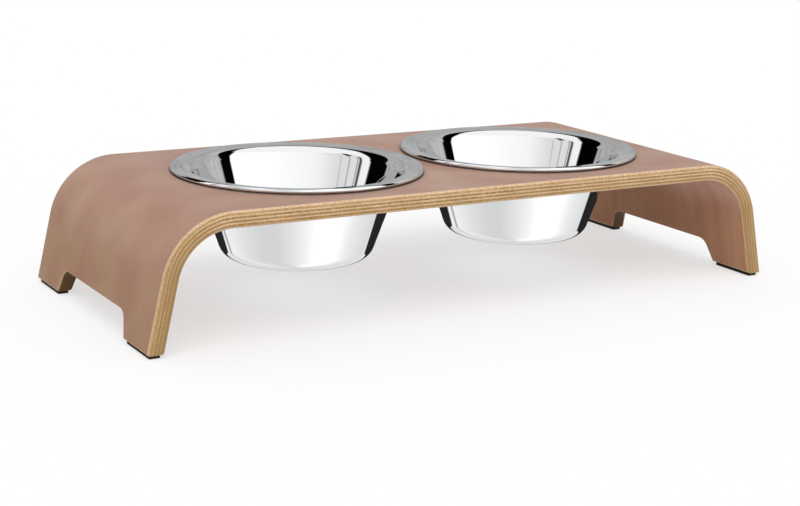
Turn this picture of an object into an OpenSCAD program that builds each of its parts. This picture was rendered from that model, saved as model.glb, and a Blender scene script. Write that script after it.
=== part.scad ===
// Raised feeder for two bowls: one bridge of bent plywood on four pads, with two steel bowls dropped into it.
// Millimetres, +Z up, +X along the bridge, +Y to the back. The origin is on the floor under the middle.

/* [Bowls] */
// Diameter over the rolled edge of the rim
rim_d = 210; // [160:1:260]
// Width of the rim, from the bowl's wall out to its edge
rim_w = 18; // [15:0.5:28]
// Height of the rim's rolled edge above the wood
rim_h = 4; // [3:0.1:6]
// Fall of the rim towards the mouth, in degrees
rim_slope = 7; // [0:0.5:9]
// Turn of the rolled edge below level, in degrees
lip_roll = 110; // [90:5:150]
// Outside radius of the bend between rim and wall
mouth_bend = 5; // [4:0.1:10]
// Height of a bowl, from its rim down to its base
bowl_depth = 78; // [60:1:110]
// Lean of a bowl's wall from upright, in degrees
wall_lean = 19.5; // [8:0.5:24]
// Outside radius between wall and base
base_corner = 15; // [10:1:26]
// Thickness of the steel sheet
sheet_t = 0.8; // [0.5:0.1:1.2]
// Space between the two rims
rim_gap = 10; // [4:1:40]

/* [Bridge] */
// Flat wood in front of and behind the rims
edge_margin = 20; // [8:1:50]
// Flat wood between a rim and the start of the bend
end_margin = 9; // [2:1:60]
// Free height under the bowls
floor_gap = 32; // [15:1:60]
// Inside radius of the two bends, the radius of the press mould
bend_radius = 45; // [25:1:60]
// Rise of the bends above the flats, so small that it can't be felt, which gives each bend a clean edge
bend_crown = 0.02; // [0.01:0.01:0.05]
// Lean of the legs outwards, in degrees from upright
leg_lean = 12.5; // [0:0.5:18]
// Bevel along the outer and inner edge of the legs' ends
end_bevel = 1.5; // [0.5:0.1:3]

/* [Lamination] */
// Number of core veneers
core_count = 9; // [7:2:11]
// Thickness of one core veneer
veneer_t = 1.4; // [1:0.05:1.8]
// Thickness of the coloured laminate on each face
face_t = 0.5; // [0.3:0.05:0.8]
// Strip along the edges where the laminate is eased away
face_setback = 0.8; // [0.3:0.1:1.5]

/* [Leg cut-outs] */
// Width of a foot where it stands on its pad
foot_w = 50; // [35:1:70]
// Height of the cut-out between the feet
cutout_h = 20; // [14:1:28]
// Lean of the cut-out's sides, in degrees from upright
cutout_lean = 21; // [0:1:30]
// Radius of the cut-out's upper corners
cutout_corner = 11; // [4:0.5:13]

/* [Foot pads] */
// Thickness of a pad
pad_t = 3; // [2:0.5:6]
// Strip of wood left bare around a pad, inside the bevels
pad_margin = 0.9; // [0.2:0.1:1.5]
// Radius of a pad's corners
pad_corner = 1.5; // [0.5:0.1:2.5]

/* [Fits] */
// Room around the bend of a bowl's mouth in its hole
hole_clearance = 1; // [0.5:0.1:3]
// Gap left under the rolled edge where it rests on the wood
seat_gap = 0.3; // [0.1:0.05:0.5]

/* [Hidden] */
$fn = 96;
LEFT = -1;
RIGHT = 1;
FRONT = -1;
BACK = 1;
// Steps in each bend of the bowls' outline
arc_steps = 12;

wood_t = 2 * face_t + core_count * veneer_t;
wood_depth = rim_d + 2 * edge_margin;
bowl_x = (rim_d + rim_gap) / 2;
top_z = floor_gap + bowl_depth - rim_h - seat_gap;

// The bends: the outer face has radius outer_r about centres at plus and minus bend_x
outer_r = bend_radius + wood_t;
bend_x = bowl_x + rim_d / 2 + end_margin;
bend_z = top_z - outer_r;

// The legs' ends, cut level to stand on the pads
leg_end_z = pad_t;
leg_end_w = wood_t / cos(leg_lean);
foot_x = bend_x + (outer_r + (bend_z - leg_end_z) * sin(leg_lean)) / cos(leg_lean);

// The cut-out between the feet of a leg
cutout_z = leg_end_z + cutout_h - cutout_corner;
cutout_side = (cutout_corner + (cutout_z - leg_end_z) * sin(cutout_lean)) / cos(cutout_lean);
cutout_y = wood_depth / 2 - foot_w - cutout_side;

// Centres of the bowl's bends, as [radius, height], with the underside of the rolled edge at height 0
lip_r = rim_h / 2;
lip_bend = lip_r - sheet_t;
lip_at = [rim_d / 2 - lip_r, lip_r];
mouth_r = rim_d / 2 - rim_w + mouth_bend * cos(wall_lean);
rim_run = (lip_at.x - mouth_r - (lip_bend - mouth_bend) * sin(rim_slope)) / cos(rim_slope);
mouth_at = [mouth_r, lip_at.y - rim_run * sin(rim_slope) + (lip_bend - mouth_bend) * cos(rim_slope)];
base_z = rim_h - bowl_depth;
corner_z = base_z + base_corner;
wall_top = mouth_at + mouth_bend * [-cos(wall_lean), sin(wall_lean)];
wall_foot_z = corner_z - base_corner * sin(wall_lean);
wall_foot_r = wall_top.x - (wall_top.y - wall_foot_z) * tan(wall_lean);
corner_at = [wall_foot_r - base_corner * cos(wall_lean), corner_z];
hole_r = mouth_r + hole_clearance;

face_colour = "#b4978a";
long_grain_colour = "#d8b98c";
cross_grain_colour = "#b08c5a";
rubber_colour = "#1c1b1a";
steel_colour = "#c8cacc";

// Points along an arc, from one angle to another
function arc(centre, r, from, to) = [
    for (i = [0 : arc_steps])
        let (a = from + (to - from) * i / arc_steps)
        centre + r * [cos(a), sin(a)]
];

// A solid bridge, extruded along Z: a flat top, two round corners about centre_x and centre_z, and two sides
// that lean outwards down to floor_z
module bridge_block(centre_x, centre_z, r, lean, floor_z, length) {
    side_x = centre_x + (r + (centre_z - floor_z) * sin(lean)) / cos(lean);
    side_top = [centre_x + r * cos(lean), centre_z + r * sin(lean)];
    corner_r = r + bend_crown;
    for (side = [LEFT, RIGHT])
        translate([side * centre_x, centre_z, 0])
            intersection() {
                cylinder(r = corner_r, h = length, center = true);
                translate([-corner_r, 0, -length / 2]) cube([2 * corner_r, corner_r, length]);
            }
    linear_extrude(length, center = true)
        polygon([
            [-centre_x, centre_z + r],
            [centre_x, centre_z + r],
            side_top,
            [side_x, floor_z],
            [-side_x, floor_z],
            [-side_top.x, side_top.y]
        ]);
}

// The two holes that the bowls drop into
module bowl_holes() {
    for (side = [LEFT, RIGHT])
        translate([side * bowl_x, 0, bend_z]) cylinder(r = hole_r, h = 2 * outer_r);
}

// The space between the feet, right through both legs, wider by the setback for the laminates
module leg_cutouts(setback) {
    rotate([90, 0, 90])
        bridge_block(
            cutout_y, cutout_z, cutout_corner + setback, cutout_lean,
            leg_end_z - 2 * end_bevel, 2 * foot_x + 2 * wood_t
        );
}

// What is trimmed off the legs: all that lies below their ends, and a bevel along both edges
module leg_ends() {
    outer_x = foot_x - end_bevel;
    inner_x = foot_x - leg_end_w + end_bevel;
    reach = 2 * end_bevel;
    for (side = [LEFT, RIGHT])
        rotate([90, 0, 0])
            linear_extrude(2 * wood_depth, center = true)
                polygon([
                    [side * outer_x, leg_end_z],
                    [side * (outer_x + reach), leg_end_z + reach],
                    [side * (outer_x + reach), leg_end_z - reach],
                    [side * (inner_x - reach), leg_end_z - reach],
                    [side * (inner_x - reach), leg_end_z + reach],
                    [side * inner_x, leg_end_z]
                ]);
}

// One bent sheet of the lamination, between two depths below the outer face
module bent_sheet(from_depth, to_depth, setback = 0) {
    below_end = leg_end_z - end_bevel;
    difference() {
        rotate([90, 0, 0])
            bridge_block(
                bend_x, bend_z, outer_r - from_depth, leg_lean,
                below_end, wood_depth - 2 * setback
            );
        rotate([90, 0, 0])
            bridge_block(
                bend_x, bend_z, outer_r - to_depth, leg_lean,
                below_end - end_bevel, 2 * wood_depth
            );
        bowl_holes();
        leg_cutouts(setback);
        leg_ends();
    }
}

// Coloured laminate over the top and down the outsides of the legs
module outer_face_laminate() {
    color(face_colour) bent_sheet(0, face_t, face_setback);
}

// Coloured laminate on the underside and the insides of the legs
module inner_face_laminate() {
    color(face_colour) bent_sheet(wood_t - face_t, wood_t, face_setback);
}

// Core veneers, counted from the outer face, with the grain of each one crossing the next
module core_veneer(i) {
    from_depth = face_t + (i - 1) * veneer_t;
    color(i % 2 == 1 ? long_grain_colour : cross_grain_colour)
        bent_sheet(from_depth, from_depth + veneer_t);
}

// Rectangle with round corners, about the origin
module rounded_rectangle(w, l, r) {
    square([w - 2 * r, l], center = true);
    square([w, l - 2 * r], center = true);
    for (x = [-1, 1], y = [-1, 1])
        translate([x * (w / 2 - r), y * (l / 2 - r)]) circle(r);
}

// Pad stuck under one foot, set in from the edges of the wood
module foot_pad(side, end) {
    inset = end_bevel + pad_margin;
    color(rubber_colour)
        translate([side * (foot_x - leg_end_w / 2), end * (wood_depth - foot_w) / 2, 0])
            linear_extrude(pad_t)
                rounded_rectangle(leg_end_w - 2 * inset, foot_w - 2 * inset, pad_corner);
}

// Steel bowl, turned from one outline: base, corner, wall, mouth, rim and its rolled edge, then back along
// the inside
module bowl(side) {
    rim_angle = 90 + rim_slope;
    wall_angle = 180 - wall_lean;
    color(steel_colour)
        translate([side * bowl_x, 0, top_z + seat_gap])
            rotate_extrude()
                polygon(concat(
                    [[0, base_z]],
                    arc(corner_at, base_corner, -90, -wall_lean),
                    arc(mouth_at, mouth_bend, wall_angle, rim_angle),
                    arc(lip_at, lip_bend, rim_angle, -lip_roll),
                    arc(lip_at, lip_r, -lip_roll, rim_angle),
                    arc(mouth_at, mouth_bend + sheet_t, rim_angle, wall_angle),
                    arc(corner_at, base_corner - sheet_t, -wall_lean, -90),
                    [[0, base_z + sheet_t]]
                ));
}

outer_face_laminate();
inner_face_laminate();
for (i = [1 : core_count])
    core_veneer(i);
foot_pad(LEFT, FRONT);  // foot_pad_front_left
foot_pad(RIGHT, FRONT);  // foot_pad_front_right
foot_pad(LEFT, BACK);  // foot_pad_back_left
foot_pad(RIGHT, BACK);  // foot_pad_back_right
bowl(LEFT);  // bowl_left
bowl(RIGHT);  // bowl_right
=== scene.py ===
# %% [markdown]
# A raised feeder for a dog: one sheet of plywood, pressed into a low bridge, with two steel bowls dropped
# into round holes. The CAD model comes in as a frame of named nodes in their real places. This lesson
# dresses it. Each node gets a finished piece that stands exactly where the node is, with eased edges,
# wood grain, a satin laminate on the faces, black pads and polished steel.

# %% Load the frame
import math

import bmesh
import bpy
from mathutils import Matrix, Vector


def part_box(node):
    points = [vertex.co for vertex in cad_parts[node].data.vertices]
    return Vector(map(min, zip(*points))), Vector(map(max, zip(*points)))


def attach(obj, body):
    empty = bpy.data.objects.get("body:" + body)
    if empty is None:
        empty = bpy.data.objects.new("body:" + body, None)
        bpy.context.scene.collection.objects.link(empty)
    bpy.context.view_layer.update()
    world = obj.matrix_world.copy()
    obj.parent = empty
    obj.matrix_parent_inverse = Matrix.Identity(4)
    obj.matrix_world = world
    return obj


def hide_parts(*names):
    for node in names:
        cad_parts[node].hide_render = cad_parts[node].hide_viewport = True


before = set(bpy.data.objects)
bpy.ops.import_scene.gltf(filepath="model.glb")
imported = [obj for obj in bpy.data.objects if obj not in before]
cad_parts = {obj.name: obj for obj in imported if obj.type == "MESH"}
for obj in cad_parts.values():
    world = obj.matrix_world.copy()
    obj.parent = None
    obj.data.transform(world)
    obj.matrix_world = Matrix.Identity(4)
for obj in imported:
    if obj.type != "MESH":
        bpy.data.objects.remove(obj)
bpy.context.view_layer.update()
scene = bpy.context.scene
scene.view_settings.view_transform = "Standard"

# %% [markdown]
# The camera stands in front of the feeder, to its left and a little above the board. A long lens keeps
# the far leg nearly as large as the near one. The place and the angles come from lining up the board's
# corners and the bowls' rims with the photograph, so they are written as plain numbers. The roll is the
# small tilt of a camera held by hand.

# %% Camera
MM = 0.001
LENS_MM = 75.43
FILM_WIDTH_MM = 36
CAMERA_AT = Vector((-727.1, -1221.2, 372.3)) * MM
YAW = math.radians(30.45)
PITCH_DOWN = math.radians(13.826)
ROLL = math.radians(1.412)

forward = Vector((
    math.sin(YAW) * math.cos(PITCH_DOWN),
    math.cos(YAW) * math.cos(PITCH_DOWN),
    -math.sin(PITCH_DOWN),
))
level_right = Vector((math.cos(YAW), -math.sin(YAW), 0))
level_up = level_right.cross(forward)
image_right = math.cos(ROLL) * level_right + math.sin(ROLL) * level_up
image_up = math.cos(ROLL) * level_up - math.sin(ROLL) * level_right

lens = bpy.data.cameras.new("studio_camera")
lens.sensor_fit = "HORIZONTAL"
lens.sensor_width = FILM_WIDTH_MM
lens.lens = LENS_MM
camera = bpy.data.objects.new("studio_camera", lens)
scene.collection.objects.link(camera)
turn = Matrix((image_right, image_up, -forward)).transposed()
camera.matrix_world = Matrix.Translation(CAMERA_AT) @ turn.to_4x4()
scene.camera = camera
print("camera distance:", round(CAMERA_AT.length, 3), "m")

# %% [markdown]
# Three small helpers serve every finish. The first turns a colour as a painter would pick it, an sRGB
# hex value, into the linear numbers that light is reckoned in. The second gives a plain grey of one
# brightness. The third adds one node to a shader tree, with its settings, and links or fills its
# inputs. An input may be named, or counted where two sockets share a name.

# %% Colour and node helpers
def linear(hex_colour):
    channels = [int(hex_colour[i:i + 2], 16) / 255 for i in (1, 3, 5)]
    decoded = [c / 12.92 if c <= 0.04045 else ((c + 0.055) / 1.055) ** 2.4 for c in channels]
    return (*decoded, 1.0)


def grey(level):
    return (level, level, level, 1)


def node(tree, kind, inputs=None, **settings):
    made = tree.nodes.new("ShaderNode" + kind)
    for name, value in settings.items():
        setattr(made, name, value)
    for key, value in (inputs or {}).items():
        if isinstance(value, bpy.types.NodeSocket):
            tree.links.new(value, made.inputs[key])
        else:
            made.inputs[key].default_value = value
    return made


print("a mid grey, decoded:", round(linear("#808080")[0], 3))

# %% [markdown]
# Polished steel has almost no look of its own: it shows the room. A studio for such things is a white
# tent, open at the front, with black cards left and right that draw the dark bands down a bowl's wall,
# and a grey cloth behind. A world shader can be that tent. It measures the compass angle of each ray,
# from straight behind the camera, and reads a brightness for that angle from a list. The insides of the
# bowls see the tent above the horizon, with its thin dark seams, and their rounded mouths see its upper
# part and a white ceiling. The outsides see the cards that stand below the horizon, and the white table
# further down. Towards the ceiling the cards lean back, so that their bands curve as they reach the
# mouth. Two short lists are for rays that the steel has mirrored twice, at the ends of a bowl. Only
# mirrored rays see any of this. The camera sees plain white, and matt surfaces are lit by an even soft
# light, so that their colours come out as they are written.

# %% Light tent
SOFT_LIGHT = 0.74
WHITE = grey(1)
# Compass angle in degrees, plus to the picture's right, and brightness
LEFT_CARD = ((-180, 0.43), (-122.3, 0.5), (-120.3, 0.001), (-91.8, 0.001), (-90.4, 1.15))
SEAMS = (
    (-80, 1.1), (-78.2, 0.01), (-76.2, 0.01), (-75, 0.92), (-74.2, 0.92), (-73, 0.1), (-71.8, 0.92),
    (-63, 0.92), (-61.8, 0.3), (-60.6, 0.9), (-51.8, 0.9), (-50.5, 0.55), (-49.2, 0.9),
)
UPPER_FLAP = ((-70, 0.95), (-68.5, 0.01), (-62, 0.01), (-60, 0.92))
WHITE_AND_RIGHT_CARD = (
    (-42, 0.95), (-20, 1.15), (0, 1.2), (40, 1.3), (89, 1.3), (90, 0.001), (103.8, 0.001), (104.8, 0.62),
    (130, 0.5), (180, 0.43),
)
TENT = LEFT_CARD + SEAMS + WHITE_AND_RIGHT_CARD
UPPER_TENT = LEFT_CARD + UPPER_FLAP + WHITE_AND_RIGHT_CARD
LOW_CARDS = (
    (-180, 0.022), (-97, 0.022), (-93, 0.9), (-52, 0.9), (-48, 0.022), (48, 0.022), (52, 0.9), (93, 0.9),
    (97, 0.022), (180, 0.022),
)
TABLE = (
    (-180, 0.85), (-136, 0.9), (-128.5, 1.1), (-125.5, 1.1), (-124, 0.5), (-120.5, 0.5), (-119, 1.1),
    (-112, 1.08), (-80, 0.93), (-55, 0.84), (-30, 0.84), (0, 1.0), (20, 1.15), (35, 1.3), (75, 1.3),
    (95, 1.05), (131, 0.87), (134, 1.0), (150, 0.9), (180, 0.85),
)
CEILING = 1.15
# The same for rays that the steel has mirrored twice: low ones, high ones, and an even grey between them
LOW_TWICE = (
    (-180, 0.45), (-172, 0.35), (-122, 0.35), (-116, 0.57), (112, 0.57), (117, 0.36), (162, 0.36),
    (172, 0.57), (180, 0.57),
)
HIGH_TWICE = ((-180, 0.57), (-104, 0.57), (-100, 0.001), (-60, 0.001), (-56, 0.57), (180, 0.57))
TWICE_GREY = 0.57
# How often such a ray was mirrored, give or take so much
TWICE, TWICE_GIVE = 2, 0.5
# Heights of a ray, as the upward part of its direction, between which one part gives way to the next
TABLE_FROM, TABLE_TO = -0.488, -0.478
HORIZON_FROM, HORIZON_TO = -0.005, 0.005
UPPER_FROM, UPPER_TO = 0.62, 0.66
CEILING_FROM, CEILING_TO = 0.8, 0.84
GREY_FROM, GREY_TO = 0.22, 0.26
HIGH_FROM, HIGH_TO = 0.55, 0.57
# Above this height the cards lean back, the more so the further round they stand
LEAN_FROM = 0.366
LEAN = 0.1326
# Folds of the grey cloth: how many go round, how much longer than wide, how much darker and lighter, and
# between which brightnesses of the tent they die away
FOLDS = 12
FOLD_STRETCH = 0.3
FOLD_DARK, FOLD_LIGHT = 0.8, 1.22
CLOTH_GREY, CLOTH_WHITE = 0.65, 0.8
# Nearly all of a noise pattern lies between these two values
NOISE_LOW, NOISE_HIGH = 0.3, 0.7

world = bpy.data.worlds.new("light_tent")
scene.world = world
world.use_nodes = True
tree = world.node_tree
tree.nodes.clear()
direction = node(tree, "TexCoord").outputs["Generated"]
height = node(tree, "SeparateXYZ", {0: direction}).outputs["Z"]
level_back = (-math.sin(YAW), -math.cos(YAW), 0)
behind = node(tree, "VectorMath", {0: direction, 1: level_back}, operation="DOT_PRODUCT").outputs["Value"]
aside = node(tree, "VectorMath", {0: direction, 1: level_right}, operation="DOT_PRODUCT").outputs["Value"]
angle = node(tree, "Math", {0: aside, 1: behind}, operation="ARCTAN2").outputs[0]
rise = {"Value": height, "From Min": LEAN_FROM, "From Max": 1, "To Max": LEAN * (1 - LEAN_FROM)}
lean = node(tree, "MapRange", rise).outputs["Result"]
squared = node(tree, "Math", {0: angle, 1: 2}, operation="POWER").outputs[0]
drawn = node(tree, "Math", {0: squared, 1: lean}, operation="MULTIPLY").outputs[0]
kept = node(tree, "Math", {0: 1, 1: drawn}, operation="SUBTRACT").outputs[0]
leaned = node(tree, "Math", {0: angle, 1: kept}, operation="MULTIPLY").outputs[0]
whole_turn = {"Value": leaned, "From Min": -math.pi, "From Max": math.pi}
place = node(tree, "MapRange", whole_turn).outputs["Result"]
parts = []
for stops in (TENT, UPPER_TENT, LOW_CARDS, TABLE, LOW_TWICE, HIGH_TWICE):
    ramp = node(tree, "ValToRGB", {"Fac": place})
    for degrees, level in stops[1:-1]:
        ramp.color_ramp.elements.new(degrees / 360 + 0.5)
    for element, (degrees, level) in zip(ramp.color_ramp.elements, stops):
        element.color = grey(level)
    parts.append(ramp.outputs["Color"])
tent, upper_tent, low_cards, table, low_twice, high_twice = parts
open_view = (
    (low_cards, TABLE_FROM, TABLE_TO),
    (tent, HORIZON_FROM, HORIZON_TO),
    (upper_tent, UPPER_FROM, UPPER_TO),
    (grey(CEILING), CEILING_FROM, CEILING_TO),
)
twice_view = (
    (grey(TWICE_GREY), GREY_FROM, GREY_TO),
    (high_twice, HIGH_FROM, HIGH_TO),
)
views = []
for seen, layers in ((table, open_view), (low_twice, twice_view)):
    for look, first, last in layers:
        step = {"Value": height, "From Min": first, "From Max": last}
        above = node(tree, "MapRange", step).outputs["Result"]
        seen = node(tree, "Mix", {0: above, 6: seen, 7: look}, data_type="RGBA").outputs[2]
    views.append(seen)
even_tent, mirrored_twice = views
hung = node(tree, "VectorMath", {0: direction, 1: (1, 1, FOLD_STRETCH)}, operation="MULTIPLY").outputs[0]
fold = node(tree, "TexNoise", {"Vector": hung, "Scale": FOLDS, "Detail": 2}).outputs["Fac"]
fold_range = {"From Min": NOISE_LOW, "From Max": NOISE_HIGH, "To Min": FOLD_DARK, "To Max": FOLD_LIGHT}
folded = node(tree, "MapRange", {"Value": fold, **fold_range}).outputs["Result"]
is_cloth = node(
    tree, "MapRange",
    {"Value": even_tent, "From Min": CLOTH_GREY, "From Max": CLOTH_WHITE, "To Min": 1.0, "To Max": 0.0},
).outputs["Result"]
whole_tent = node(
    tree, "Mix", {0: is_cloth, 6: even_tent, 7: folded}, data_type="RGBA", blend_type="MULTIPLY"
).outputs[2]
ray = node(tree, "LightPath").outputs
twice = node(
    tree, "Math", {0: ray["Glossy Depth"], 1: TWICE, 2: TWICE_GIVE}, operation="COMPARE"
).outputs[0]
seen_in_steel = node(
    tree, "Mix", {0: twice, 6: whole_tent, 7: mirrored_twice}, data_type="RGBA"
).outputs[2]
lit = node(
    tree, "Mix", {0: ray["Is Glossy Ray"], 6: grey(SOFT_LIGHT), 7: seen_in_steel}, data_type="RGBA"
).outputs[2]
shown = node(tree, "Mix", {0: ray["Is Camera Ray"], 6: lit, 7: WHITE}, data_type="RGBA").outputs[2]
background = node(tree, "Background", {"Color": shown})
node(tree, "OutputWorld", {"Surface": background.outputs[0]})
print("lists of the tent:", len(parts), "stops in the longest:", len(TENT))

# %% [markdown]
# The floor is a plain white sheet that runs out of sight. One broad lamp, high and behind the camera's
# left shoulder, gives the shapes a soft side and the feet a soft shadow. A sun lamp lights near and far
# floor alike, so the sheet stays white all the way back. To the camera the sheet also glows a little,
# which keeps it white and its shadow light. Mirrors look through the floor to the tent, which keeps their
# bands clean.

# %% Floor and lamp
FLOOR_HALF_M = 6
PAPER_WHITE = "#f6f6f6"
FLOOR_GLOW = 0.6
LAMP_STRENGTH = 1.3
LAMP_SPREAD = math.radians(50)
LAMP_FROM = Vector((-0.35, -0.5, 1.0))

floor_mesh = bpy.data.meshes.new("white_sheet")
corners = [(-1, -1), (1, -1), (1, 1), (-1, 1)]
floor_points = [(x * FLOOR_HALF_M, y * FLOOR_HALF_M, 0) for x, y in corners]
floor_mesh.from_pydata(floor_points, [], [(0, 1, 2, 3)])
floor = bpy.data.objects.new("white_sheet", floor_mesh)
scene.collection.objects.link(floor)
floor.visible_glossy = False

paper = bpy.data.materials.new("matt_white_paper")
paper.use_nodes = True
tree = paper.node_tree
tree.nodes.clear()
sheet_seen = node(tree, "BsdfDiffuse", {"Color": linear(PAPER_WHITE)}).outputs[0]
glow = node(tree, "Emission", {"Color": WHITE}).outputs[0]
ray = node(tree, "LightPath").outputs
share = node(tree, "Math", {0: ray["Is Camera Ray"], 1: FLOOR_GLOW}, operation="MULTIPLY").outputs[0]
paper_look = node(tree, "MixShader", {0: share, 1: sheet_seen, 2: glow}).outputs[0]
node(tree, "OutputMaterial", {"Surface": paper_look})
floor_mesh.materials.append(paper)

lamp = bpy.data.lights.new("broad_lamp", "SUN")
lamp.energy = LAMP_STRENGTH
lamp.angle = LAMP_SPREAD
lamp_object = bpy.data.objects.new("broad_lamp", lamp)
lamp_object.rotation_euler = LAMP_FROM.to_track_quat("Z", "Y").to_euler()
lamp_object.visible_glossy = False
scene.collection.objects.link(lamp_object)
print("lamp from", tuple(round(c, 2) for c in LAMP_FROM.normalized()))

# %% [markdown]
# The sizes that drive every shape are the CAD's, in millimetres: the bowls, the margins of wood around
# them, the free height under them, and what the board is made of. The rest follows from these: how high
# the top lies, how deep the board is, and where its bends begin.

# %% Driving sizes
RIM_D = 210
RIM_H = 4
RIM_GAP = 10
BOWL_DEPTH = 78
SEAT_GAP = 0.3
FLOOR_GAP = 32
EDGE_MARGIN = 20
END_MARGIN = 9
BEND_RADIUS = 45
FACE_T = 0.5
VENEER_T = 1.4
VENEER_COUNT = 9
PAD_T = 3

RIM_R = RIM_D / 2
BOWL_X = (RIM_D + RIM_GAP) / 2
HALF_DEPTH = RIM_R + EDGE_MARGIN
WOOD_T = 2 * FACE_T + VENEER_COUNT * VENEER_T
TOP_Z = FLOOR_GAP + BOWL_DEPTH - RIM_H - SEAT_GAP
OUTER_R = BEND_RADIUS + WOOD_T
BEND_X = BOWL_X + RIM_R + END_MARGIN
BEND_Z = TOP_Z - OUTER_R
print("board:", round(WOOD_T, 2), "mm thick, with its top at", round(TOP_Z, 2), "mm")

# %% [markdown]
# The faces of the board are a decorative laminate: paper and resin, pressed hot against a satin steel
# plate. That gives a rose-brown with soft clouds, paler and deeper, a pale bloom at low angles and a skin
# too fine to feel. The underside has a plainer backing sheet of the same colour, duller and with narrow
# streaks along the board. Where the edge is sanded round, the coloured skin is cut through, raggedly, and
# a paler layer shows. Every piece of the board carries its own flat coordinates in millimetres, along,
# across and through the sheet, so the patterns follow the bends as the real sheet does.

# %% Satin laminate
# For each sheet: its paler and deeper colour, length and width of its streaks in millimetres, weight of its
# clouds against the streaks, and level of its gloss
LAMINATES = {
    "pressed_laminate_satin": ("#b18c76", "#a07462", 70, 52, 1.3, 0.5),
    "pressed_laminate_backing": ("#bf9078", "#ac7964", 140, 9, 1.1, 0.2),
}
CLOUD_MM = 55
# How far the pattern strays from its mean on the way from the paler to the deeper colour
STRAY = 0.37
LAMINATE_CORE = "#dcc0a0"
# Painted shade: the legs keep a warmer, darker tone than the top, in place of the paler sheen that light
# from above lays on the top. It grows between two distances along the sheet
LEG_SHADE_TINT = "#f6f6e4"
TOP_TO_MM, LEG_FROM_MM = 262, 325
# Painted shadow in a thin ring where a rim rests: how far inside the rim's edge, and how it thins out
SEAT_SHADOW_PAINT = "#3d2f28"
SEAT_INSIDE_MM = 1.2
SEAT_FROM_MM, SEAT_TO_MM = 0.8, 2.6
# The plate's real texture is about 0.2 mm, drawn coarser so that it shows
SKIN_MM = 0.9
SKIN_DEPTH_MM = 0.05
SKIN_RELIEF = 0.12
CHIP_MM = 2.2
# How far the edge is sanded, where chips begin and where the coloured skin is gone
CHIP_FROM, CHIP_TO = 0.12, 0.36
BLOOM = 0.1
BLOOM_SPREAD = 0.5
# Pressed resin, satin: roughness where it is smoothest and dullest
RESIN_IOR = 1.5
RESIN_SMOOTH, RESIN_DULL = 0.36, 0.46

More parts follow.
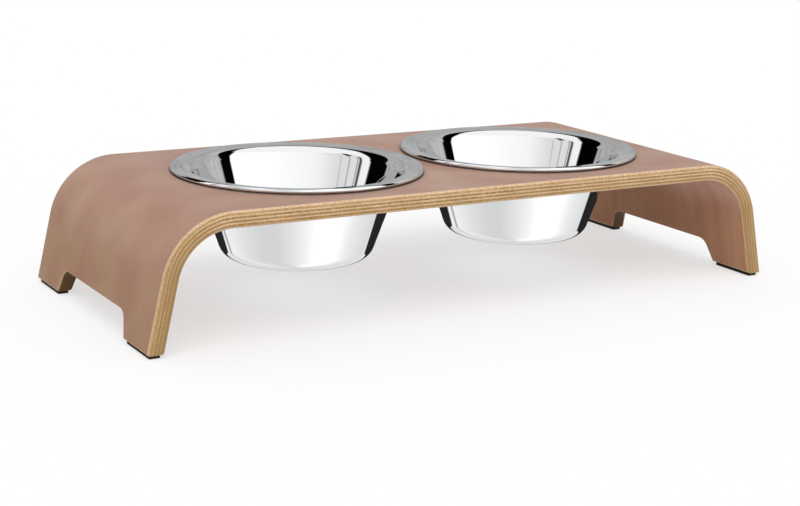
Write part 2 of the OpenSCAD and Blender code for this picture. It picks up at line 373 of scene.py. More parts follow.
seat_r = RIM_R - SEAT_INSIDE_MM
laminates = {}
for name, (pale, deep, streak_length, streak_width, cloud_weight, gloss) in LAMINATES.items():
    laminate = bpy.data.materials.new(name)
    laminate.use_nodes = True
    tree = laminate.node_tree
    shader = tree.nodes["Principled BSDF"]
    flat = node(tree, "Attribute", attribute_name="flat_mm").outputs["Vector"]
    per_cloud = node(tree, "VectorMath", {0: flat, 1: (1 / CLOUD_MM,) * 3}, operation="MULTIPLY").outputs[0]
    cloud = node(tree, "TexNoise", {"Vector": per_cloud, "Scale": 1, "Detail": 3}).outputs["Fac"]
    per_streak = (1 / streak_length, 1 / streak_width, 1 / streak_width)
    along_streak = node(tree, "VectorMath", {0: flat, 1: per_streak}, operation="MULTIPLY").outputs[0]
    streak = node(tree, "TexNoise", {"Vector": along_streak, "Scale": 1, "Detail": 2}).outputs["Fac"]
    drifted = node(
        tree, "Math", {0: cloud, 1: cloud_weight, 2: streak}, operation="MULTIPLY_ADD"
    ).outputs[0]
    mean = (cloud_weight + 1) / 2
    clouded = node(
        tree, "MapRange", {"Value": drifted, "From Min": mean - STRAY, "From Max": mean + STRAY}
    ).outputs["Result"]
    tint = node(tree, "Mix", {0: clouded, 6: linear(pale), 7: linear(deep)}, data_type="RGBA").outputs[2]
    sanded = node(tree, "Attribute", attribute_name="sanded").outputs["Fac"]
    per_chip = node(tree, "VectorMath", {0: flat, 1: (1 / CHIP_MM,) * 3}, operation="MULTIPLY").outputs[0]
    chip = node(tree, "TexNoise", {"Vector": per_chip, "Scale": 1, "Detail": 3}).outputs["Fac"]
    ragged = node(tree, "Math", {0: sanded, 1: chip}, operation="MULTIPLY").outputs[0]
    cut_through = node(
        tree, "MapRange", {"Value": ragged, "From Min": CHIP_FROM, "From Max": CHIP_TO}
    ).outputs["Result"]
    edged = node(
        tree, "Mix", {0: cut_through, 6: tint, 7: linear(LAMINATE_CORE)}, data_type="RGBA"
    ).outputs[2]
    out = node(tree, "VectorMath", {0: flat}, operation="ABSOLUTE").outputs[0]
    run = node(tree, "SeparateXYZ", {0: out}).outputs["X"]
    on_leg = node(
        tree, "MapRange", {"Value": run, "From Min": TOP_TO_MM, "From Max": LEG_FROM_MM}
    ).outputs["Result"]
    # Painted shade: the legs take a warmer, darker tone than the top
    leg_shaded = node(
        tree, "Mix", {0: on_leg, 6: edged, 7: linear(LEG_SHADE_TINT)}, data_type="RGBA", blend_type="MULTIPLY"
    ).outputs[2]
    from_bowl = node(tree, "VectorMath", {0: out, 1: (BOWL_X, 0, 0)}, operation="DISTANCE").outputs["Value"]
    past_seat = node(tree, "Math", {0: from_bowl, 1: seat_r}, operation="SUBTRACT").outputs[0]
    off_seat = node(tree, "Math", {0: past_seat}, operation="ABSOLUTE").outputs[0]
    off_ring = node(
        tree, "MapRange", {"Value": off_seat, "From Min": SEAT_FROM_MM, "From Max": SEAT_TO_MM}
    ).outputs["Result"]
    # Painted shadow: a thin dark ring on the laminate just inside each rim's edge
    ring_shadowed = node(tree, "Mix", {0: off_ring, 6: linear(SEAT_SHADOW_PAINT), 7: leg_shaded}, data_type="RGBA").outputs[2]
    per_skin = node(tree, "VectorMath", {0: flat, 1: (1 / SKIN_MM,) * 3}, operation="MULTIPLY").outputs[0]
    skin = node(tree, "TexNoise", {"Vector": per_skin, "Scale": 1, "Detail": 2}).outputs["Fac"]
    sheen = node(
        tree, "MapRange", {"Value": cloud, "To Min": RESIN_SMOOTH, "To Max": RESIN_DULL}
    ).outputs["Result"]
    relief = node(
        tree, "Bump", {"Height": skin, "Strength": SKIN_RELIEF, "Distance": SKIN_DEPTH_MM * MM}
    ).outputs["Normal"]
    tree.links.new(ring_shadowed, shader.inputs["Base Color"])
    tree.links.new(sheen, shader.inputs["Roughness"])
    tree.links.new(relief, shader.inputs["Normal"])
    shader.inputs["IOR"].default_value = RESIN_IOR
    shader.inputs["Specular IOR Level"].default_value = gloss
    shader.inputs["Sheen Weight"].default_value = BLOOM
    shader.inputs["Sheen Roughness"].default_value = BLOOM_SPREAD
    laminates[name] = laminate
print("laminates:", ", ".join(laminates), "with clouds of", CLOUD_MM, "mm")

# %% [markdown]
# The core is birch veneer, peeled off a turning log, glued crosswise and sanded at the edge. Along the
# front edge every other sheet shows long pale fibres, and the sheets between show the cut ends of theirs,
# which drink more oil and look darker and speckled. At the ends of the legs the two change places. One
# pattern gives both: noise that is stretched along the fibres of its own sheet, with specks where vessels
# are cut. Thin brown glue lines part the sheets. The edges of the legs, where the feeder is carried, are
# darker and more even. Painted shade darkens the edge towards its lower side, and the cut-outs between
# the feet, cut with a router, are painted dark brown for the shade they lie in under the legs.

# %% Birch veneer
FIBRE_LENGTH_MM = 46
# Real fibres are near 0.05 mm, drawn as bundles that show
FIBRE_WIDTH_MM = 0.55
FIBRE_DEPTH_MM = 0.1
FIBRE_RELIEF = 0.25
RING_MM = 5
RING_LENGTH_MM = 90
RINGS_PER_MM_DEEP = 0.3
# Weight of the fibres and of the specks, with 1 for the rings, and the sums that give pale and deep wood
FIBRE_WEIGHT = 0.55
SPECK_WEIGHT = 4.0
PALE_AT, DEEP_AT = 2.4, 3.15
# Glue shows in this share of a sheet beside each joint, at most this strongly
GLUE_SHARE = 0.1
GLUE_STRENGTH = 0.6
# Cut vessels are about 0.1 mm wide, drawn coarser so that they show
SPECK_MM = 1.2
VENEER_TONES = {
    "birch_long_grain": ("#e3c6a3", "#cda885", "y"),
    "birch_cross_grain_pale": ("#c8a675", "#ae8955", "x"),
    "birch_cross_grain_dark": ("#b8925d", "#94703b", "x"),
}
GLUE_BROWN = "#86602f"
# Painted shade for the cut-outs between the feet, which lie in shade under the legs
CUT_OUT_SHADE_TINT = "#7f6920"
# Tone of the handled legs' edges, also the target of the painted shade along the lower edge
WORN_AND_SHADE_TONE = "#9c7b4b"
HANDLED_SHARE = 0.55
HANDLED_FROM_MM, HANDLED_TO_MM = 232, 300
# Painted shade: the edge darker towards its lower side, between these depths, up to this share
LOWER_EDGE_SHADE = 0.32
LOWER_SHADE_FROM_MM, LOWER_SHADE_TO_MM = 2, 13
# Oiled wood: roughness where it is smoothest and dullest
OILED_IOR = 1.47
OILED_GLOSS = 0.3
OILED_SMOOTH, OILED_DULL = 0.42, 0.62

veneers = {}
for name, (pale, deep, crosswise) in VENEER_TONES.items():
    veneer = bpy.data.materials.new(name)
    veneer.use_nodes = True
    tree = veneer.node_tree
    shader = tree.nodes["Principled BSDF"]
    flat = node(tree, "Attribute", attribute_name="flat_mm").outputs["Vector"]
    along, across = FIBRE_LENGTH_MM, FIBRE_WIDTH_MM
    if crosswise == "x":
        along, across = across, along
    per_fibre = (1 / along, 1 / across, 1 / FIBRE_WIDTH_MM)
    fibre_place = node(tree, "VectorMath", {0: flat, 1: per_fibre}, operation="MULTIPLY").outputs[0]
    fibre = node(tree, "TexNoise", {"Vector": fibre_place, "Scale": 1, "Detail": 4}).outputs["Fac"]
    along, across = RING_LENGTH_MM, RING_MM
    if crosswise == "x":
        along, across = across, along
    per_ring = (1 / along, 1 / across, RINGS_PER_MM_DEEP)
    ring_place = node(tree, "VectorMath", {0: flat, 1: per_ring}, operation="MULTIPLY").outputs[0]
    ring = node(tree, "TexNoise", {"Vector": ring_place, "Scale": 1, "Detail": 2}).outputs["Fac"]
    per_speck = node(tree, "VectorMath", {0: flat, 1: (1 / SPECK_MM,) * 3}, operation="MULTIPLY").outputs[0]
    speck = node(tree, "TexNoise", {"Vector": per_speck, "Scale": 1, "Detail": 1}).outputs["Fac"]
    both = node(tree, "Math", {0: fibre, 1: FIBRE_WEIGHT, 2: ring}, operation="MULTIPLY_ADD").outputs[0]
    specked = node(tree, "Math", {0: speck, 1: SPECK_WEIGHT, 2: both}, operation="MULTIPLY_ADD").outputs[0]
    grained = node(
        tree, "MapRange", {"Value": specked, "From Min": PALE_AT, "From Max": DEEP_AT}
    ).outputs["Result"]
    wood = node(tree, "Mix", {0: grained, 6: linear(pale), 7: linear(deep)}, data_type="RGBA").outputs[2]
    through = node(tree, "Attribute", attribute_name="through").outputs["Fac"]
    inside = node(tree, "Math", {0: through, 1: 0.5}, operation="PINGPONG").outputs[0]
    glued = node(
        tree, "MapRange", {"Value": inside, "From Max": GLUE_SHARE, "To Min": GLUE_STRENGTH, "To Max": 0}
    ).outputs["Result"]
    lined = node(tree, "Mix", {0: glued, 6: wood, 7: linear(GLUE_BROWN)}, data_type="RGBA").outputs[2]
    in_sheet = node(tree, "SeparateXYZ", {0: flat}).outputs
    out = node(tree, "Math", {0: in_sheet["X"]}, operation="ABSOLUTE").outputs[0]
    handled = node(
        tree, "MapRange",
        {"Value": out, "From Min": HANDLED_FROM_MM, "From Max": HANDLED_TO_MM, "To Max": HANDLED_SHARE},
    ).outputs["Result"]
    lower_shaded = node(
        tree, "MapRange",
        {"Value": in_sheet["Z"], "From Min": LOWER_SHADE_FROM_MM, "From Max": LOWER_SHADE_TO_MM, "To Max": LOWER_EDGE_SHADE},
    ).outputs["Result"]
    worn_and_shaded = node(tree, "Math", {0: handled, 1: lower_shaded}, operation="ADD").outputs[0]
    # Wear on the legs' edges plus painted shade towards the lower side of the edge
    darkened = node(tree, "Mix", {0: worn_and_shaded, 6: lined, 7: linear(WORN_AND_SHADE_TONE)}, data_type="RGBA").outputs[2]
    cut_out_shade = node(tree, "Attribute", attribute_name="cut_out_shade").outputs["Fac"]
    # Painted shade: the cut-outs between the feet are darkened
    cut_out_shaded = node(
        tree, "Mix", {0: cut_out_shade, 6: darkened, 7: linear(CUT_OUT_SHADE_TINT)},
        data_type="RGBA", blend_type="MULTIPLY",
    ).outputs[2]
    dull = node(
        tree, "MapRange", {"Value": fibre, "To Min": OILED_SMOOTH, "To Max": OILED_DULL}
    ).outputs["Result"]
    relief = node(
        tree, "Bump", {"Height": fibre, "Strength": FIBRE_RELIEF, "Distance": FIBRE_DEPTH_MM * MM}
    ).outputs["Normal"]
    tree.links.new(cut_out_shaded, shader.inputs["Base Color"])
    tree.links.new(dull, shader.inputs["Roughness"])
    tree.links.new(relief, shader.inputs["Normal"])
    shader.inputs["IOR"].default_value = OILED_IOR
    shader.inputs["Specular IOR Level"].default_value = OILED_GLOSS
    veneers[name] = veneer
print("veneers:", ", ".join(veneers))

# %% [markdown]
# The bowls are stainless steel, pressed from sheet and buffed to a mirror. Buffing runs round the bowl,
# so what roughness is left lies in fine rings. The flat of the rim is left brushed, in soft strokes. A
# metal keeps the default index of refraction: its colour does the work.

# %% Buffed stainless steel
STEEL = "#e4e5e6"
# The rim is left brushed: paler and darker strokes that run round it
BRUSHED_PALE = "#fbfbfc"
BRUSHED_DARK = "#c6c9cc"
STROKE_MM = 2.5
STROKE_ROUND_MM = 26
STROKE_RAGGED = 0.6
STROKE_FROM, STROKE_TO = 0.34, 0.66
# Buffing lines are near 0.05 mm apart, drawn coarser so that they show
BUFF_MM = 1.1
BUFF_ROUND_MM = 60
BUFF_DEPTH_MM = 0.02
BUFF_RELIEF = 0.02
MIRROR_SMOOTH, MIRROR_DULL = 0.012, 0.035

steel = bpy.data.materials.new("stainless_steel_buffed")
steel.use_nodes = True
tree = steel.node_tree
shader = tree.nodes["Principled BSDF"]
swept = node(tree, "Attribute", attribute_name="swept_mm").outputs["Vector"]
per_line = (1 / BUFF_MM, 1 / BUFF_ROUND_MM, 1)
line_place = node(tree, "VectorMath", {0: swept, 1: per_line}, operation="MULTIPLY").outputs[0]
lines = node(tree, "TexNoise", {"Vector": line_place, "Scale": 1, "Detail": 3}).outputs["Fac"]
shine = {"From Min": NOISE_LOW, "From Max": NOISE_HIGH, "To Min": MIRROR_SMOOTH, "To Max": MIRROR_DULL}
satin = node(tree, "MapRange", {"Value": lines, **shine}).outputs["Result"]
on_rim = node(tree, "Attribute", attribute_name="brushed").outputs["Fac"]
per_stroke = (1 / STROKE_MM, 1 / STROKE_ROUND_MM, BUFF_ROUND_MM / STROKE_ROUND_MM)
stroke_place = node(tree, "VectorMath", {0: swept, 1: per_stroke}, operation="MULTIPLY").outputs[0]
strokes = node(
    tree, "TexNoise", {"Vector": stroke_place, "Scale": 1, "Detail": 4, "Roughness": STROKE_RAGGED}
).outputs["Fac"]
stroked = node(
    tree, "MapRange", {"Value": strokes, "From Min": STROKE_FROM, "From Max": STROKE_TO}
).outputs["Result"]
brushed = node(
    tree, "Mix", {0: stroked, 6: linear(BRUSHED_DARK), 7: linear(BRUSHED_PALE)}, data_type="RGBA"
).outputs[2]
tone = node(tree, "Mix", {0: on_rim, 6: linear(STEEL), 7: brushed}, data_type="RGBA").outputs[2]
relief = node(
    tree, "Bump", {"Height": lines, "Strength": BUFF_RELIEF, "Distance": BUFF_DEPTH_MM * MM}
).outputs["Normal"]
tree.links.new(tone, shader.inputs["Base Color"])
tree.links.new(satin, shader.inputs["Roughness"])
tree.links.new(relief, shader.inputs["Normal"])
shader.inputs["Metallic"].default_value = 1.0
print(steel.name, "lines of", BUFF_MM, "mm")

# %% [markdown]
# The pads are black rubber, moulded and cut to size. Rubber is dark, dull and a little dusty: broad soft
# gloss, a fine pebble from the mould and a grey bloom in patches.

# %% Moulded rubber
RUBBER = "#1b1a19"
RUBBER_BLOOM = "#252422"
PEBBLE_MM = 0.6
PEBBLE_DEPTH_MM = 0.1
PEBBLE_RELIEF = 0.3
BLOOM_MM = 7
RUBBER_GLOSS = 0.3
RUBBER_SMOOTH, RUBBER_DULL = 0.6, 0.8

rubber = bpy.data.materials.new("rubber_moulded_matt")
rubber.use_nodes = True
tree = rubber.node_tree
shader = tree.nodes["Principled BSDF"]
spot = node(tree, "TexCoord").outputs["Object"]
per_bloom = (1 / (BLOOM_MM * MM),) * 3
bloom_place = node(tree, "VectorMath", {0: spot, 1: per_bloom}, operation="MULTIPLY").outputs[0]
bloom = node(tree, "TexNoise", {"Vector": bloom_place, "Scale": 1, "Detail": 3}).outputs["Fac"]
per_pebble = (1 / (PEBBLE_MM * MM),) * 3
pebble_place = node(tree, "VectorMath", {0: spot, 1: per_pebble}, operation="MULTIPLY").outputs[0]
pebble = node(tree, "TexNoise", {"Vector": pebble_place, "Scale": 1, "Detail": 1}).outputs["Fac"]
dusty = node(
    tree, "Mix", {0: bloom, 6: linear(RUBBER), 7: linear(RUBBER_BLOOM)}, data_type="RGBA"
).outputs[2]
relief = node(
    tree, "Bump", {"Height": pebble, "Strength": PEBBLE_RELIEF, "Distance": PEBBLE_DEPTH_MM * MM}
).outputs["Normal"]
dull = node(
    tree, "MapRange", {"Value": bloom, "To Min": RUBBER_SMOOTH, "To Max": RUBBER_DULL}
).outputs["Result"]
tree.links.new(dusty, shader.inputs["Base Color"])
tree.links.new(dull, shader.inputs["Roughness"])
tree.links.new(relief, shader.inputs["Normal"])
shader.inputs["Specular IOR Level"].default_value = RUBBER_GLOSS
print(rubber.name, "with a pebble of", PEBBLE_MM, "mm")

# %% [markdown]
# A bent board is easiest to draw flat and then bend, which is also how its grain runs. A point of the
# flat pattern has a distance along the sheet, a distance across it, and a depth below the outer face. The
# function below finds its place on the bridge: on the flat top, round a bend, or down a leg that leans
# outwards.

# %% Bending the flat sheet
LEG_LEAN = math.radians(12.5)
LEG_END_Z = PAD_T
# In this run below a bend, rows of points turn from square to the sheet to level, as the feet are cut
LEVELLING_MM = 20

LEG_START = BEND_X + OUTER_R * (math.pi / 2 - LEG_LEAN)
LEG_TOP_Z = BEND_Z + OUTER_R * math.sin(LEG_LEAN)


def bent(along, across, depth):
    side = math.copysign(1, along)
    run = abs(along)
    r = OUTER_R - depth
    if run <= BEND_X:
        x, z = run, TOP_Z - depth
    elif run <= LEG_START:
        angle = math.pi / 2 - (run - BEND_X) / OUTER_R
        x, z = BEND_X + r * math.cos(angle), BEND_Z + r * math.sin(angle)
    else:
        down = run - LEG_START
        shift = depth * math.sin(LEG_LEAN) * max(0, 1 - down / LEVELLING_MM)
        z = LEG_TOP_Z - down * math.cos(LEG_LEAN) - shift
        x = BEND_X + (r + (BEND_Z - z) * math.sin(LEG_LEAN)) / math.cos(LEG_LEAN)
    return (side * x * MM, across * MM, z * MM)


def leg_run(z):
    return LEG_START + (LEG_TOP_Z - z) / math.cos(LEG_LEAN)


foot_run = leg_run(LEG_END_Z)
print("flat length:", round(2 * foot_run), "mm, foot at x =", round(bent(foot_run, 0, 0)[0], 4))

# %% [markdown]
# The flat pattern is a net of four-sided faces, so that it bends cleanly. Columns run down the legs and
# over the bends. Below each leg they stop at the cut-out between the feet. Round each bowl hole a fan of
# faces reaches from the circle to the edges of the board. Left and right are mirror images.

# %% Flat pattern
RIM_W = 18
MOUTH_BEND = 5
WALL_LEAN = math.radians(19.5)
HOLE_CLEARANCE = 1
FOOT_W = 50
CUT_H = 20
CUT_R = 11
CUT_LEAN = math.radians(21)
# How fine the net is: faces round a cut-out's corner, over a bend, along the top, down a leg and across a
# foot, spacing of the columns, width of the outermost ones, and where the fan round a hole is divided
CUT_STEPS = 6
BEND_STEPS = 24
EDGE_STEPS = 28
LEG_STEPS = 5
FOOT_STEPS = 5
COLUMN_MM = 9
EDGE_COLUMN_MM = 6
FAN = (0, 0.1, 0.5, 0.88, 1)

FOOT_Y = HALF_DEPTH - FOOT_W
CUT_Z = LEG_END_Z + CUT_H - CUT_R
cut_side = (CUT_R + (CUT_Z - LEG_END_Z) * math.sin(CUT_LEAN)) / math.cos(CUT_LEAN)
CUT_Y = FOOT_Y - cut_side
mouth_r = RIM_R - RIM_W + MOUTH_BEND * math.cos(WALL_LEAN)
hole_r = mouth_r + HOLE_CLEARANCE


def spread(first, last, steps):
    return [first + (last - first) * i / steps for i in range(steps + 1)]


cut_angles = spread(math.pi / 2, CUT_LEAN, CUT_STEPS)
foot_of = {y: CUT_Z + CUT_R for y in spread(0, CUT_Y, round(CUT_Y / COLUMN_MM))}
foot_of.update({CUT_Y + CUT_R * math.cos(a): CUT_Z + CUT_R * math.sin(a) for a in cut_angles[1:]})
outer_columns = spread(FOOT_Y, HALF_DEPTH - EDGE_COLUMN_MM, FOOT_STEPS) + [HALF_DEPTH]
foot_of.update({y: LEG_END_Z for y in outer_columns})
foot_of.update({-y: z for y, z in list(foot_of.items())})
columns = sorted(foot_of)


def leg_column(y):
    end = leg_run(foot_of[y])
    return spread(LEG_START, end - EDGE_COLUMN_MM, LEG_STEPS) + [end]


def flat_net():
    points, faces, known = [], [], {}

    def point(along, across):
        key = (round(along, 2), round(across, 2))
        if key not in known:
            known[key] = len(points)
            points.append((along, across))
        return known[key]

    def net(rows, closed=False):
        for upper, lower in zip(rows, rows[1:]):
            count = len(upper)
            for i in range(count if closed else count - 1):
                j = (i + 1) % count
                faces.append((point(*upper[i]), point(*upper[j]), point(*lower[j]), point(*lower[i])))

    for side in (-1, 1):
        bend_rows = [[(side * run, y) for y in columns] for run in spread(BEND_X, LEG_START, BEND_STEPS)]
        net(bend_rows)
        leg_columns = [[(side * run, y) for run in leg_column(y)] for y in columns]
        net(leg_columns)
        edge_runs = spread(0, BEND_X, EDGE_STEPS)
        border = [(run, -HALF_DEPTH) for run in edge_runs[:-1]]
        border += [(BEND_X, y) for y in columns[:-1]]
        border += [(run, HALF_DEPTH) for run in edge_runs[:0:-1]]
        border += [(0, y) for y in columns[:0:-1]]
        fan_rows = []
        for share in FAN:
            row = []
            for run, y in border:
                angle = math.atan2(y, run - BOWL_X)
                hole_run = BOWL_X + hole_r * math.cos(angle)
                hole_y = hole_r * math.sin(angle)
                row.append((side * (hole_run + (run - hole_run) * share), hole_y + (y - hole_y) * share))
            fan_rows.append(row)
        net(fan_rows, closed=True)
    return points, faces


net_points, net_faces = flat_net()
print("flat net:", len(net_points), "points,", len(net_faces), "faces")

# %% [markdown]
# Every edge of the board is eased: sanded to a small round, which takes a little off the outer sheets and
# nothing off the middle ones. To ease a sheet, its border points move inwards by an amount that depends
# on their depth. The cell finds, for each border point, the way inwards, square to the border on both
# sides of it. The bowl holes and the cut-outs between the feet are cut with a router after pressing, and
# get a much smaller round.

# %% Border of the pattern
EDGE_ROUND = 2.5
ROUTED_ROUND = 0.8
# A point this near to a line counts as lying on it
NEAR_MM = 1

edge_faces = {}
for face in net_faces:
    middle = Vector((0, 0))
    for i in face:
        middle += Vector(net_points[i]) / len(face)
    for a, b in zip(face, face[1:] + face[:1]):
        edge_faces.setdefault((min(a, b), max(a, b)), []).append(middle)
border_edges = [edge for edge, middles in edge_faces.items() if len(middles) == 1]

edge_normals = {}
for a, b in border_edges:
    start, end = Vector(net_points[a]), Vector(net_points[b])
    normal = Vector((start.y - end.y, end.x - start.x)).normalized()
    if normal.dot(edge_faces[(a, b)][0] - start) < 0:
        normal = -normal
    edge_normals.setdefault(a, []).append(normal)
    edge_normals.setdefault(b, []).append(normal)

inward = {}
at_cut_out = set()
for i, (first, second) in edge_normals.items():
    run, y = net_points[i]
    at_hole = math.hypot(abs(run) - BOWL_X, y) < hole_r + NEAR_MM
    if abs(run) > LEG_START and abs(y) < FOOT_Y + NEAR_MM:
        at_cut_out.add(i)
    at_foot = abs(y) > FOOT_Y - NEAR_MM
    radius = ROUTED_ROUND if at_hole or (i in at_cut_out and not at_foot) else EDGE_ROUND
    inward[i] = ((first + second) / (1 + first.dot(second)), radius)
print("border points:", len(inward), "of them at the cut-outs:", len(at_cut_out))

# %% [markdown]
# Every piece is finished in the same way, whatever its shape: its points and faces become a mesh, what
# each point knows about its place in the pattern is stored with it for the materials, the faces are
# turned outwards, and shading is smooth except over edges that really are sharp.

# %% Finishing a piece
def finished(name, vertices, faces, material, sharp_angle, known=None):
    mesh = bpy.data.meshes.new(name)
    mesh.from_pydata(vertices, [], faces)
    for label, values in (known or {}).items():
        if isinstance(values[0], tuple):
            stored = mesh.attributes.new(label, "FLOAT_VECTOR", "POINT")
            stored.data.foreach_set("vector", [part for value in values for part in value])
        else:
            stored = mesh.attributes.new(label, "FLOAT", "POINT")
            stored.data.foreach_set("value", values)
    work = bmesh.new()
    work.from_mesh(mesh)
    bmesh.ops.recalc_face_normals(work, faces=work.faces)
    work.to_mesh(mesh)
    work.free()
    mesh.shade_smooth()
    mesh.set_sharp_from_angle(angle=sharp_angle)
    mesh.materials.append(material)
    piece = bpy.data.objects.new(name, mesh)
    scene.collection.objects.link(piece)
    return piece


def dress(piece, body, cad_node):
    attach(piece, body)
    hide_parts(cad_node)


print("materials so far:", len(bpy.data.materials))

# %% [markdown]
# One function turns the net into a sheet of the lamination, from one depth to another. Its two faces are
# copies of the net, and between them the border runs in rings down the round. The joints between the core
# sheets wander a little, as real veneers do under the press: slow waves of about a tenth of a millimetre,
# the same for both sheets that meet there. Each point keeps its flat coordinates for the grain, its share
# of the way through the sheet for the glue lines, how far the edge is sanded, and how much painted shade
# it takes in the cut-outs between the feet.

# %% Making a sheet
RING_STEPS = 4
WAVE_MM = 0.12
# Each wave: its length in millimetres, its share of the height, and its shift from joint to joint
WAVES = ((19.0, 0.6, 1.7), (47.0, 1.0, 2.9))
GRAIN_STEP_MM = 310
# The painted shade of the cut-outs is weaker on the outermost veneer
OUTER_VENEER_SHADE = 0.25
SHEET_SHARP = math.radians(40)


def inset(depth, radius):
    near = min(depth, WOOD_T - depth)
    if near >= radius:
        return 0
    return radius - math.sqrt(radius ** 2 - (radius - near) ** 2)


def wave(joint, run, across):
    if joint <= 1 or joint > VENEER_COUNT:
        return 0
    total = 0
    for length, size, shift in WAVES:
        total += size * math.sin(2 * math.pi * run / length + shift * joint + across / length)
    return WAVE_MM * total


def ring_depths(top, bottom):
    near_top, near_bottom = min(top, WOOD_T - top), min(bottom, WOOD_T - bottom)
    if min(near_top, near_bottom) >= EDGE_ROUND:
        return [top, bottom]
    angles = [math.acos(max(0, 1 - near / EDGE_ROUND)) for near in (near_top, near_bottom)]
    nears = [EDGE_ROUND * (1 - math.cos(a)) for a in spread(*angles, RING_STEPS)]
    rounded = nears if top < WOOD_T / 2 else [WOOD_T - near for near in nears]
    return [top] + rounded[1:-1] + [bottom]


def sheet(name, number, top, bottom, material):
    depths = ring_depths(top, bottom)
    borders = sorted(inward)
    vertices, flats, throughs, sandings, cut_out_shades = [], [], [], [], []

    def place(i, depth):
        run, across = net_points[i]
        if i in inward:
            way, radius = inward[i]
            run += way.x * inset(depth, radius)
            across += way.y * inset(depth, radius)
        share = (depth - top) / (bottom - top)
        above, below = wave(number, run, across), wave(number + 1, run, across)
        vertices.append(bent(run, across, depth + (1 - share) * above + share * below))
        flats.append((run, across + number * GRAIN_STEP_MM, depth))
        throughs.append(share)
        sandings.append(min(depth, WOOD_T - depth) / FACE_T if i in inward else 0.0)
        shade_share = OUTER_VENEER_SHADE if number == 1 else 1.0
        cut_out_shades.append(shade_share if i in at_cut_out else 0.0)
        return len(vertices) - 1

    upper = [place(i, top) for i in range(len(net_points))]
    rings = [[upper[i] for i in borders]]
    rings += [[place(i, depth) for i in borders] for depth in depths[1:-1]]
    lower = [place(i, bottom) for i in range(len(net_points))]
    rings.append([lower[i] for i in borders])
    order = {i: k for k, i in enumerate(borders)}
    faces = [[upper[i] for i in face] for face in net_faces]
    faces += [[lower[i] for i in reversed(face)] for face in net_faces]
    for first, second in zip(rings, rings[1:]):
        for a, b in border_edges:
            faces.append((first[order[a]], first[order[b]], second[order[b]], second[order[a]]))

    known = {"flat_mm": flats, "through": throughs, "sanded": sandings, "cut_out_shade": cut_out_shades}
    return finished(name, vertices, faces, material, SHEET_SHARP, known)


print("rings of the outer laminate:", [round(d, 2) for d in ring_depths(0, FACE_T)])

# %% [markdown]
# Eleven sheets make the board: the coloured laminate over the top, nine veneers that cross each other,
# and the backing laminate underneath. Each takes the place of its CAD node and rides with the stand.
# The uppermost cross-grain veneer is paler than the other three, as it comes from another log.

# %% Laminating the board
PALE_CROSS = "core_veneer_2"

over = sheet("laminate_over", 0, 0, FACE_T, laminates["pressed_laminate_satin"])
dress(over, "stand", "outer_face_laminate")
for number in range(1, VENEER_COUNT + 1):
    top = FACE_T + (number - 1) * VENEER_T
    cad_node = f"core_veneer_{number}"
    if number % 2 == 1:
        finish, slot = "birch_long_grain", "long_grain_veneer"
    else:
        finish = "birch_cross_grain_pale" if cad_node == PALE_CROSS else "birch_cross_grain_dark"
        slot = "cross_grain_veneer"
    piece = sheet(f"veneer_{number}", number, top, top + VENEER_T, veneers[finish])
    dress(piece, "stand", cad_node)
backing = laminates["pressed_laminate_backing"]
under = sheet("laminate_under", VENEER_COUNT + 1, WOOD_T - FACE_T, WOOD_T, backing)
dress(under, "stand", "inner_face_laminate")
print("sheets:", VENEER_COUNT + 2, "faces in each laminate:", len(over.data.polygons))

# %% [markdown]
# A pad is a flat strip of rubber with round corners, stuck under each foot. It is lofted: the same
# outline, repeated at a few heights and drawn in slightly at the floor, where the mould leaves a soft
# edge.

# %% Foot pads
PAD_CORNER = 1.5
PAD_CORNER_STEPS = 6
PAD_SHARP = math.radians(50)
# Height of each ring above the floor, and how far it is drawn in
PAD_RINGS = ((0, 0.45), (0.12, 0.15), (0.4, 0), (PAD_T - 0.2, 0), (PAD_T, 0.12))


def pad_outline(half, drawn_in):
    corner = PAD_CORNER - drawn_in
    outline = []
    for quarter, (sx, sy) in enumerate(((1, 1), (-1, 1), (-1, -1), (1, -1))):
        x, y = sx * (half.x - PAD_CORNER), sy * (half.y - PAD_CORNER)
        for angle in spread(quarter * math.pi / 2, (quarter + 1) * math.pi / 2, PAD_CORNER_STEPS):
            outline.append((x + corner * math.cos(angle), y + corner * math.sin(angle)))
    return outline


def loft(name, rings, material):
    count = len(rings[0])
    faces = [list(range(count)), [len(rings) * count - 1 - i for i in range(count)]]
    for level in range(len(rings) - 1):
        low, high = level * count, (level + 1) * count
        for i in range(count):
            j = (i + 1) % count
            faces.append((low + i, low + j, high + j, high + i))
    return finished(name, [point for ring in rings for point in ring], faces, material, PAD_SHARP)


for end in ("front", "back"):
    for side in ("left", "right"):
        cad_node = f"foot_pad_{end}_{side}"
        low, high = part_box(cad_node)
        middle, half = (low + high) / 2, (high - low) / 2 / MM
        pad_rings = []
        for z, drawn_in in PAD_RINGS:
            outline = pad_outline(half, drawn_in)
            pad_rings.append([(middle.x + x * MM, middle.y + y * MM, z * MM) for x, y in outline])
        pad = loft(f"pad_{end}_{side}", pad_rings, rubber)
        dress(pad, "stand", cad_node)
print("pads:", round(2 * half.x, 2), "by", round(2 * half.y, 2), "mm")

# %% [markdown]
# A bowl is a body of revolution, so one outline, turned about the bowl's axis, makes all of it. The
# outline runs from the middle of the base along the outside: base, corner, wall, the bend of the mouth,
# the sloping rim and its rolled edge. It then returns along the inside, one sheet thickness away. Mirrors
# show every fault in a shape, so the bends have many steps, and each straight stretch has extra points
# close to its ends, which hold it straight.

# %% Outline of a bowl
RIM_SLOPE = math.radians(7)
LIP_ROLL = math.radians(110)
BASE_CORNER = 15
SHEET_T = 0.8
# A mirror shows how soft a bend is: the mouth's is drawn softer than the CAD's and moves by less than 1 mm
SOFT_BEND = 10
# The roll sits this much lower than drawn, because the CAD's roll is a little flattened by its facets
ROLL_DROP_MM = 0.02
BEND_POINTS = 24
LIP_POINTS = 36
EDGE_POINTS = 8
# Extra points this far from the ends of a straight stretch, if it is longer than so many of these
HOLD_MM = 0.6
HOLD_SPAN = 4

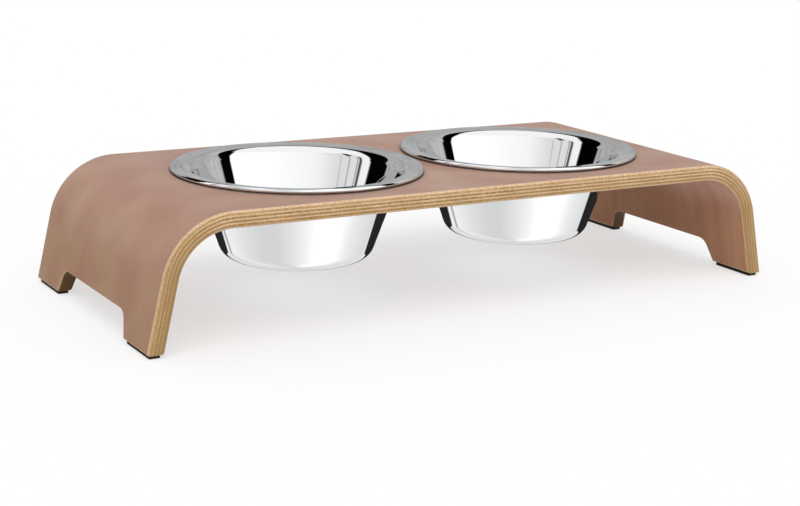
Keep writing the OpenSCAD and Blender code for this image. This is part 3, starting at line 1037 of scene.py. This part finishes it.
lip_r = RIM_H / 2
lip_bend = lip_r - SHEET_T
lip_at = Vector((RIM_R - lip_r, lip_r - ROLL_DROP_MM))
rim_run = (lip_at.x - mouth_r - (lip_bend - MOUTH_BEND) * math.sin(RIM_SLOPE)) / math.cos(RIM_SLOPE)
mouth_z = lip_at.y - rim_run * math.sin(RIM_SLOPE) + (lip_bend - MOUTH_BEND) * math.cos(RIM_SLOPE)
mouth_at = Vector((mouth_r, mouth_z))
base_z = RIM_H - BOWL_DEPTH
corner_z = base_z + BASE_CORNER
wall_top = mouth_at + MOUTH_BEND * Vector((-math.cos(WALL_LEAN), math.sin(WALL_LEAN)))
rim_angle = math.pi / 2 + RIM_SLOPE
wall_angle = math.pi - WALL_LEAN
outward = (rim_angle + wall_angle) / 2 + math.pi
further = (SOFT_BEND - MOUTH_BEND) / math.cos((wall_angle - rim_angle) / 2)
soft_at = mouth_at + further * Vector((math.cos(outward), math.sin(outward)))
wall_foot_z = corner_z - BASE_CORNER * math.sin(WALL_LEAN)
wall_foot_r = wall_top.x - (wall_top.y - wall_foot_z) * math.tan(WALL_LEAN)
corner_at = Vector((wall_foot_r - BASE_CORNER * math.cos(WALL_LEAN), corner_z))


def arc(centre, radius, first, last, steps=BEND_POINTS):
    return [centre + radius * Vector((math.cos(a), math.sin(a))) for a in spread(first, last, steps)]


def held(bends):
    points = list(bends[0])
    for bend in bends[1:]:
        start, end = points[-1], bend[0]
        step = (end - start).normalized() * HOLD_MM
        if (end - start).length > HOLD_SPAN * HOLD_MM:
            points += [start + step, (start + end) / 2, end - step]
        points += bend
    return points


edge_at = lip_at + (lip_r - SHEET_T / 2) * Vector((math.cos(LIP_ROLL), -math.sin(LIP_ROLL)))
profile = held([
    [Vector((0, base_z))],
    arc(corner_at, BASE_CORNER, -math.pi / 2, -WALL_LEAN),
    arc(soft_at, SOFT_BEND, wall_angle, rim_angle),
    arc(lip_at, lip_bend, rim_angle, -LIP_ROLL, LIP_POINTS),
    arc(edge_at, SHEET_T / 2, -LIP_ROLL - math.pi, -LIP_ROLL, EDGE_POINTS),
    arc(lip_at, lip_r, -LIP_ROLL, rim_angle, LIP_POINTS),
    arc(soft_at, SOFT_BEND + SHEET_T, rim_angle, wall_angle),
    arc(corner_at, BASE_CORNER - SHEET_T, -WALL_LEAN, -math.pi / 2),
    [Vector((0, base_z + SHEET_T))],
])
print("bowl outline:", len(profile), "points, depth", BOWL_DEPTH, "mm")

# %% [markdown]
# Turning the outline: every point except the two on the axis becomes a circle of points. Each point also
# keeps how far along the outline and how far round the bowl it lies, which is what the buffing lines
# follow, and whether it is on the brushed rim.

# %% Turning the bowls
TURN_STEPS = 192
BRUSHED_FADE_MM = 3
BOWL_SHARP = math.radians(60)


def turned(name, centre_x, material):
    lift = TOP_Z + SEAT_GAP
    vertices, sweeps, brushings, faces = [], [], [], []
    travelled = 0
    previous = profile[0]
    circles = []
    for point in profile:
        travelled += (point - previous).length
        previous = point
        count = TURN_STEPS if point.x > 0 else 1
        circles.append(range(len(vertices), len(vertices) + count))
        for k in range(count):
            angle = 2 * math.pi * k / TURN_STEPS
            x, y = point.x * math.cos(angle), point.x * math.sin(angle)
            vertices.append(((centre_x + x) * MM, y * MM, (lift + point.y) * MM))
            sweeps.append((travelled, y, x / BUFF_ROUND_MM))
            brushings.append(min(1, max(0, (point.x - soft_at.x) / BRUSHED_FADE_MM)))
    for near, far in zip(circles, circles[1:]):
        for k in range(TURN_STEPS):
            j = (k + 1) % TURN_STEPS
            if len(near) == 1:
                faces.append((near[0], far[k], far[j]))
            elif len(far) == 1:
                faces.append((near[k], far[0], near[j]))
            else:
                faces.append((near[k], far[k], far[j], near[j]))
    known = {"swept_mm": sweeps, "brushed": brushings}
    return finished(name, vertices, faces, material, BOWL_SHARP, known)


for side, side_sign in (("left", -1), ("right", 1)):
    bowl = turned(f"steel_bowl_{side}", side_sign * BOWL_X, steel)
    dress(bowl, f"{side}_bowl", f"bowl_{side}")
print("faces in a bowl:", len(bowl.data.polygons))
